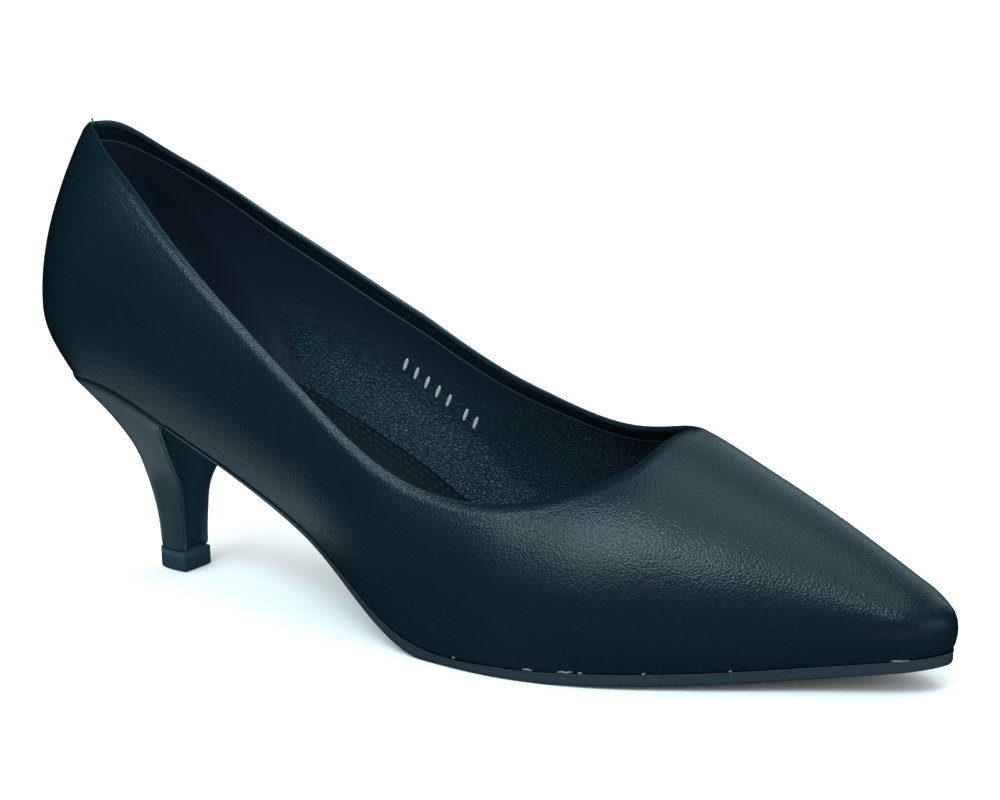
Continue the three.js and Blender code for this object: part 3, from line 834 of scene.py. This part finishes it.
def bars_mesh(name, bars, material):
    points, faces = [], []
    start = 0
    for rings in bars:
        n, count = rings.shape[:2]
        points.append(rings.reshape(-1, 3))
        faces += [tuple(start + i for i in face) for face in ring_faces(n, count, False)]
        faces.append(tuple(start + i for i in range(count - 1, -1, -1)))
        faces.append(tuple(start + (n - 1) * count + i for i in range(count)))
        start += n * count
    return add_mesh(name, np.concatenate(points), faces, [material])


def resample(line, spacing):
    length = np.concatenate([[0], np.cumsum(np.linalg.norm(np.diff(line, axis=0), axis=-1))])
    at = np.arange(0, length[-1], spacing)
    return np.stack([np.interp(at, length, line[:, k]) for k in range(3)], -1)


STITCH_PITCH, STITCH_LENGTH, STITCH_WIDTH, STITCH_HEIGHT = 2.6, 1.75, 0.42, 0.16
STITCH_MARGINS = (2.6, 4.9, 7.4)
SEAM_SPACING = 0.25
stitches = []
sewn = (insole_along > HEEL_PIVOT + 2) & (insole_along < TOE_PIVOT - 24)
for margin in STITCH_MARGINS:
    for side in (OUTER, INNER):
        line = inset(edge_lines[side][1], side, margin)
        fine = resample(line[sewn], SEAM_SPACING)
        fine[:, 2] = bed_height(fine[:, 0], fine[:, 1]) + INSOLE_THICKNESS + insole_top(fine)
        step = int(STITCH_PITCH / SEAM_SPACING)
        size = int(STITCH_LENGTH / SEAM_SPACING)
        for begin in range(0, len(fine) - size, step):
            base = fine[begin:begin + size + 1:2] + np.array([0, 0, 0.02])
            stitches.append(bar(base, np.tile([0.3, 0, 0.95], (len(base), 1)), STITCH_WIDTH, STITCH_HEIGHT))
stitching = bars_mesh("insole_stitching", stitches, thread_skin)
dress(stitching, "sock_lining")

# Outsole: thin unit sole from the heel breast to the toe

sole_along = stations(BREAST_FROM_HEEL + FIT_GAP, steps=140)


def underside(line):
    return np.maximum(0, bed_height(line[..., 0], line[..., 1]) - FIT_GAP - BED["sole"](line[..., 0]))


def sole_profile(side):
    """Lines from the feather edge over the sole's lip and down its side to the tread."""
    edge = foot_line(sole_along, side)
    top_line = on_bed(inset(edge, side, -SOLE_WELT), -0.08)
    low_line = inset(edge, side, SOLE_BEVEL - SOLE_WELT + BED["bevel"](edge[:, 0]))
    low_line[:, 2] = underside(low_line)
    steps = [
        on_bed(inset(edge, side, 1.2), -0.12),
        on_bed(inset(edge, side, 0.35), -0.12),
        on_bed(inset(edge, side, 0.04), -0.1),
        on_bed(inset(edge, side, -0.18), 0.04),
        on_bed(inset(edge, side, -0.36), 0.0),
    ]
    for share, bulge in (
        (0.1, 0.2), (0.24, 0.1), (0.35, 0.16), (0.6, 0.2), (0.8, 0.18), (0.93, 0.12), (1.0, 0.0),
    ):
        line = top_line * (1 - share) + low_line * share
        steps.append(inset(line, side, -bulge * (0.4 + 0.6 * smoothstep(0, 1, share) * 1.6)))
    return steps


outer_steps, inner_steps = sole_profile(OUTER)[::-1], sole_profile(INNER)[::-1]
bottom = strip_between(outer_steps[0], inner_steps[0], 20)[:, 1:-1]
bottom[..., 2] = underside(bottom)
top = strip_between(inner_steps[-1], outer_steps[-1], 8)[:, 1:-1]
rings = np.concatenate([bottom, np.stack(inner_steps, 1), top, np.stack(outer_steps[::-1], 1)], 1)
outsole = close_rings(rings, "outsole_unit", [sole_skin])
dress(outsole, "outsole_edge", "outsole")

# Heel: covered block with a lip round its dished breast

HEEL_LEFT = {
    name: smooth_curve([row[0] for row in HEEL_ROWS], [row[column] for row in HEEL_ROWS])
    for column, name in enumerate(("front", "width", "back"), 1)
}
TIP_HEIGHT = TOP_PIECE_HEIGHT + FIT_GAP
TIP_BACK = HEEL_TIP_FRONT - HEEL_TIP_LENGTH
SEAT_BACK = HEEL_PIVOT - HEEL_END["foot"] * SHOE_LENGTH
BREAST_HALF = float(SECTION["outer_foot"](BREAST_FROM_HEEL) + SECTION["inner_foot"](BREAST_FROM_HEEL)) / 2
HEEL_DROP = 45.0
SEAT_RINGS = (0, 0.15, 0.3, 0.45, 0.6, 0.8, 1.05, 1.5, 2.2, 3.2)
RING_STEPS = np.concatenate([SEAT_RINGS, np.linspace(4.4, 44.6, 44)])
DROPS = [*(RING_STEPS / HEEL_DROP), 1.0]


def seat_half(x, side):
    share = np.clip((HEEL_PIVOT - x) / (HEEL_END["foot"] * SHOE_LENGTH), 0, 1)
    turned = np.abs(wall_point(HEEL_PIVOT - np.arcsin(share), side, 0.0)[..., 1])
    foot = by_side(side, SECTION["outer_foot"](x), SECTION["inner_foot"](x))
    return np.where(x >= HEEL_PIVOT, foot, turned)


ARC = np.linspace(0, math.pi, 57)
LIP = (0.0, 0.12, 0.25, 0.4, 0.55, 0.7, 0.85, 1.0, 1.2, 1.4, 1.8)
LIP_RADIUS = 3.2
BREAST_RECESS = 0.65
LIP_BEAD = 0.26
SEAT_EASE = 2.0
SKIN_COVER, SKIN_BREAST_LIT, SKIN_LIP_HIGHLIGHT = range(3)


def heel_ring(front, back, middle, half_at, dish, height_at, fall=None):
    """Points round the sides and back, then across the breast, with how far each lies inside the lip."""
    side = np.where(ARC <= math.pi / 2, OUTER, INNER)
    x = front - (front - back) * np.sin(ARC)
    y = middle + side * half_at(x, side, np.abs(np.cos(ARC)))
    low, high = y[0], y[-1]
    width = high - low
    from_side = np.array([u for u in LIP if u < width / 2 - 0.3])
    middle_part = np.linspace(from_side[-1], width - from_side[-1], 14)[1:-1]
    u = np.concatenate([from_side, middle_part, (width - from_side)[::-1]])[1:-1]
    share = u / width
    fx = front - dish * 4 * share * (1 - share)
    inside = np.zeros(len(u))
    if fall is not None:
        reach = np.minimum(u, width - u)
        corner = LIP_RADIUS - np.hypot(np.maximum(LIP_RADIUS - reach, 0), max(LIP_RADIUS - fall, 0))
        inside = np.where((reach < LIP_RADIUS) & (fall < LIP_RADIUS), corner, np.minimum(reach, fall))
        fx = fx - BREAST_RECESS * smoothstep(0.8, 1.35, inside)
        fx = fx + LIP_BEAD * np.exp(-((inside - 0.55) / 0.33) ** 2)
    fy = low + u
    xs = np.concatenate([x, fx[::-1]])
    ys = np.concatenate([y, fy[::-1]])
    inside = np.concatenate([np.zeros(len(x)), inside[::-1]])
    return np.stack([xs, ys, height_at(xs, ys), inside], -1)


def heel_ring_at(drop):
    """Ring round the heel at a share of its height down: the seat's outline turns into the tip's."""
    shape = 2 / (2 + 0.6 * drop)
    below = drop * HEEL_DROP
    ease = below ** 2 / (below ** 2 + SEAT_EASE ** 2)
    rounding = (1 - (1 - drop) ** 5) * ease
    half = HEEL_TIP_WIDTH / 2 + (BREAST_HALF - HEEL_TIP_WIDTH / 2) * float(HEEL_LEFT["width"](drop))
    half = BREAST_HALF + (half - BREAST_HALF) * ease
    front = HEEL_TIP_FRONT + (BREAST_FROM_HEEL - HEEL_TIP_FRONT) * float(HEEL_LEFT["front"](drop))
    back = TIP_BACK + (SEAT_BACK - TIP_BACK) * float(HEEL_LEFT["back"](drop))

    def half_at(x, side, cos):
        seat_x = SEAT_BACK + (x - back) / (front - back) * (BREAST_FROM_HEEL - SEAT_BACK)
        seat_like = seat_half(seat_x, side) * half / BREAST_HALF
        return seat_like * (1 - rounding) + half * cos ** shape * rounding

    dish = BREAST_DISH * min(1, 4 * drop) * (1 - 0.6 * drop)
    tuck = 0.35 * math.exp(-((1 - drop) * HEEL_DROP / 0.5) ** 2)

    def height_at(x, y):
        return (bed_height(x, y) - SET_IN) * (1 - drop) + TIP_HEIGHT * drop

    middle = HEEL_TIP_OFFSET * drop
    return heel_ring(front - tuck, back + tuck, middle, half_at, dish, height_at, below)


def match_counts(rings):
    """Spreads each ring's breast points anew, so that all rings have as many as the smallest."""
    sides = len(ARC)
    breast_count = min(len(ring) for ring in rings) - sides
    matched = []
    for ring in rings:
        breast = ring[sides:]
        at = np.linspace(0, len(breast) - 1, breast_count)
        low = np.floor(at).astype(int)
        high = np.minimum(low + 1, len(breast) - 1)
        share = (at - low)[:, None]
        matched.append(np.concatenate([ring[:sides], breast[low] * (1 - share) + breast[high] * share]))
    return np.stack(matched)


# The breast takes the lighter tone, painted light, and the bead the lightest, a painted highlight.
def breast_part(inside):
    return SKIN_COVER if inside < 0.2 else SKIN_LIP_HIGHLIGHT if inside < 0.82 else SKIN_BREAST_LIT


rings = match_counts([heel_ring_at(drop) for drop in DROPS])
skins = [breast_part(inside) for inside in rings[:-1, :, 3].ravel()] + [SKIN_COVER, SKIN_COVER]
heel = close_rings(rings[..., :3], "heel_block", [heel_skin, breast_lit_skin, lip_highlight_skin], skins)
dress(heel, "heel_cover", "heel")

# Top piece: wearing pad with a neck that stands in the heel's end

# Up the pad's edge and neck: height, and how much further in than the margin
PAD_PROFILE = (
    (0.0, 0.3), (0.06, 0.12), (0.2, 0), (2.6, 0), (4.95, 0),
    (5.12, 0.08), (5.2, 0.22), (5.2, 0.9), (5.62, 1.0),
)


def pad_ring(z, margin):
    def half_at(x, side, cos):
        return (HEEL_TIP_WIDTH / 2 + margin) * cos ** (2 / 2.6)

    front, back = HEEL_TIP_FRONT + margin, TIP_BACK - margin
    return heel_ring(front, back, HEEL_TIP_OFFSET, half_at, 0.0, lambda x, y: z + 0 * x)


pad_rings = match_counts([pad_ring(z, TOP_PIECE_MARGIN - pull) for z, pull in PAD_PROFILE[::-1]])
top_pad = close_rings(pad_rings[..., :3], "top_pad", [pad_skin])
dress(top_pad, "top_piece_rubber", "top_piece")

# Small things: foil marks on the lining, dried glue along the feather line, a thread end

wall_tree = BVHTree.FromPolygons(metres(upper_points).tolist(), upper_faces)


def on_lining(x, z):
    """Point of the inner side's lining at a place along the shoe and a height, and its normal."""
    start = Vector(metres([x, 5.0, z]).tolist())
    hit, normal, _, _ = wall_tree.ray_cast(start, Vector((0, 1, 0)))
    if normal.y > 0:
        normal = -normal
    return np.array(hit) * 1000 - LAST_TO_PART, np.array(normal)


MARK_SHARES = (0.0, 0.155, 0.31, 0.465, 0.62, 0.86, 1.0)
MARK_START_X, MARK_START_Z, MARK_RUN_X, MARK_RUN_Z = 93.0, 53.6, 20.8, -13.8
MARK_HALF, MARK_WAY_X, MARK_WAY_Z = 2.6, 0.30, 0.62
MARK_WIDTH, MARK_HEIGHT = 1.15, 0.05
marks = []
for share in MARK_SHARES:
    x, z = MARK_START_X + MARK_RUN_X * share, MARK_START_Z + MARK_RUN_Z * share
    steps = np.linspace(-MARK_HALF, MARK_HALF, 9)
    spots = [on_lining(x + MARK_WAY_X * k, z + MARK_WAY_Z * k) for k in steps]
    base = np.stack([place + way * 0.02 for place, way in spots])
    marks.append(bar(base, np.stack([way for _, way in spots]), MARK_WIDTH, MARK_HEIGHT))
foil = bars_mesh("foil_marks", marks, foil_skin)
dress(foil, "sock_lining")

# Dried glue: where along the shoe and how long
FLECKS = ((152.0, 0.8), (171.6, 2.4), (180.4, 3.4), (183.8, 1.0), (197.0, 0.8), (214.0, 0.7), (246.2, 2.6))
FLECK_WIDTH, FLECK_HEIGHT = 0.5, 0.22
random.seed(11)
flecks = []
for x, length in FLECKS:
    steps = np.linspace(x - length / 2, x + length / 2, 6)
    line = wall_point(np.minimum(steps, TOE_PIVOT + 0.2), OUTER, 0.012)
    line[:, 1] -= 0.12
    line[:, 2] += np.array([random.uniform(-0.12, 0.12) for _ in steps]) - 0.1
    flecks.append(bar(line, np.tile([0, -0.8, 0.6], (6, 1)), FLECK_WIDTH, FLECK_HEIGHT))
glue = bars_mesh("glue_flecks", flecks, glue_skin)
dress(glue, "outsole_edge")

# A thread end of three strands at the top of the back seam: lean both ways, and length
STRANDS = ((-0.4, 0.1, 1.5), (0.2, -0.3, 1.3), (-0.1, 0.3, 1.1))
STRAND_WIDTH, STRAND_HEIGHT = 0.3, 0.15
beside_seam = 3
top_back = rim[beside_seam] + rim_up[beside_seam] * 0.1 - rim_normal[beside_seam] * 0.8
threads = []
for lean_x, lean_y, length in STRANDS:
    k = np.linspace(0, 1, 6)[:, None]
    curl = np.array([[lean_x * 0.6, 0.2, -0.3]])
    base = top_back + k * np.array([[lean_x, lean_y, length]]) + k * k * curl
    threads.append(bar(base, np.tile([1, 0, 0], (6, 1)), STRAND_WIDTH, STRAND_HEIGHT))
nub = bars_mesh("thread_end", threads, facing_skin)
dress(nub, "upper_leather")

# Floor, light and camera

FLOOR_HALF, FLOOR_Z = 8, -0.0002
FLOOR_CORNERS = [(x * FLOOR_HALF, y * FLOOR_HALF, FLOOR_Z) for x, y in ((-1, -1), (1, -1), (1, 1), (-1, 1))]
floor_mesh = bpy.data.meshes.new("floor")
floor_mesh.from_pydata(FLOOR_CORNERS, [], [(0, 1, 2, 3)])
floor = bpy.data.objects.new("floor", floor_mesh)
bpy.context.scene.collection.objects.link(floor)
floor.visible_glossy = False
floor_mesh.materials.append(shader("pale_floor", (0.98, 0.98, 0.98), 0.9, 0.0)[0])

scene = bpy.context.scene
world = bpy.data.worlds.new("studio")
scene.world = world
world.use_nodes = True
world.node_tree.nodes["Background"].inputs["Color"].default_value = (1, 1, 1, 1)
world.node_tree.nodes["Background"].inputs["Strength"].default_value = 1.1
world.cycles_visibility.glossy = False


COOL = (0.64, 0.93, 1.0)
SHOE_MIDDLE = Vector((0.03, 0.0, 0.04))
SOFTBOX_AWAY = 1.15
CARD_Z = 0.004


def softbox(name, place, rotation, width, height, radiance):
    light = bpy.data.lights.new(name, "AREA")
    light.shape = "RECTANGLE"
    light.size, light.size_y = width, height
    light.energy = radiance * math.pi * width * height
    light.color = COOL
    lamp = bpy.data.objects.new(name, light)
    scene.collection.objects.link(lamp)
    lamp.location = place
    lamp.rotation_euler = rotation
    lamp.visible_camera = False


# Softboxes round the shoe: degrees round from the near side towards the toe, degrees up,
# width and height in metres, and strength
SOFTBOXES = (
    ("near_low", -6, 30, 0.40, 0.17, 5.8),
    ("near_left", -27, 47, 0.42, 0.17, 12.0),
    ("near_right", 14, 49, 0.50, 0.13, 24.0),
    ("toe_strip", 42, 56, 0.36, 0.13, 3.5),
    ("toe_low", 90, 14, 0.62, 0.38, 1.6),
    ("overhead", 112, 74, 0.85, 0.62, 2.1),
    ("backdrop_low", 180, 14, 0.62, 0.38, 1.0),
    ("backdrop_high", 180, 42, 0.75, 0.52, 0.9),
)
for name, turn, climb, width, height, strength in SOFTBOXES:
    turn, climb = math.radians(turn), math.radians(climb)
    away = Vector((math.sin(turn) * math.cos(climb), -math.cos(turn) * math.cos(climb), math.sin(climb)))
    place = SHOE_MIDDLE + away * SOFTBOX_AWAY
    rotation = (SHOE_MIDDLE - place).to_track_quat("-Z", "Y").to_euler()
    softbox(name, place, rotation, width, height, strength)

# Cards flat on the floor light the underside of the waist, the heel and the toe: place on
# the floor, degrees turned, width and height in metres, and strength
FLOOR_CARDS = (
    ("waist_card", -0.140, -0.045, 15, 0.17, 0.055, 0.70),
    ("heel_card", -0.150, 0.006, 0, 0.09, 0.025, 0.70),
    ("toe_card", 0.150, -0.030, 25, 0.05, 0.035, 0.35),
)
for name, x, y, turn, width, height, strength in FLOOR_CARDS:
    softbox(name, (x, y, CARD_Z), (math.pi, 0, math.radians(turn)), width, height, strength)

scene.view_settings.view_transform = "Standard"
scene.view_settings.look = "None"

CAMERA_AZIMUTH, CAMERA_ELEVATION, CAMERA_ROLL = (math.radians(angle) for angle in (33.12, 11.585, -1.366))
CAMERA_DISTANCE = 521.6
CAMERA_TARGET = np.array([138.542, 3.386, 52.969])
SENSOR_WIDTH = 36
FOCAL_SHARE = 2.1679
back = np.array([
    math.sin(CAMERA_AZIMUTH) * math.cos(CAMERA_ELEVATION),
    -math.cos(CAMERA_AZIMUTH) * math.cos(CAMERA_ELEVATION),
    math.sin(CAMERA_ELEVATION),
])
place = metres(CAMERA_TARGET + CAMERA_DISTANCE * back)
right = np.cross(-back, [0, 0, 1])
right = right / np.linalg.norm(right)
above = np.cross(right, -back)
rolled_right = right * math.cos(CAMERA_ROLL) + above * math.sin(CAMERA_ROLL)
rolled_above = -right * math.sin(CAMERA_ROLL) + above * math.cos(CAMERA_ROLL)
camera_data = bpy.data.cameras.new("camera")
camera_data.sensor_fit = "HORIZONTAL"
camera_data.sensor_width = SENSOR_WIDTH
camera_data.lens = SENSOR_WIDTH * FOCAL_SHARE
camera_data.clip_start, camera_data.clip_end = 0.01, 50
camera = bpy.data.objects.new("camera", camera_data)
scene.collection.objects.link(camera)
turned = Matrix([[rolled_right[i], rolled_above[i], back[i]] for i in range(3)])
camera.matrix_world = Matrix.Translation(Vector(place.tolist())) @ turned.to_4x4()
scene.camera = camera
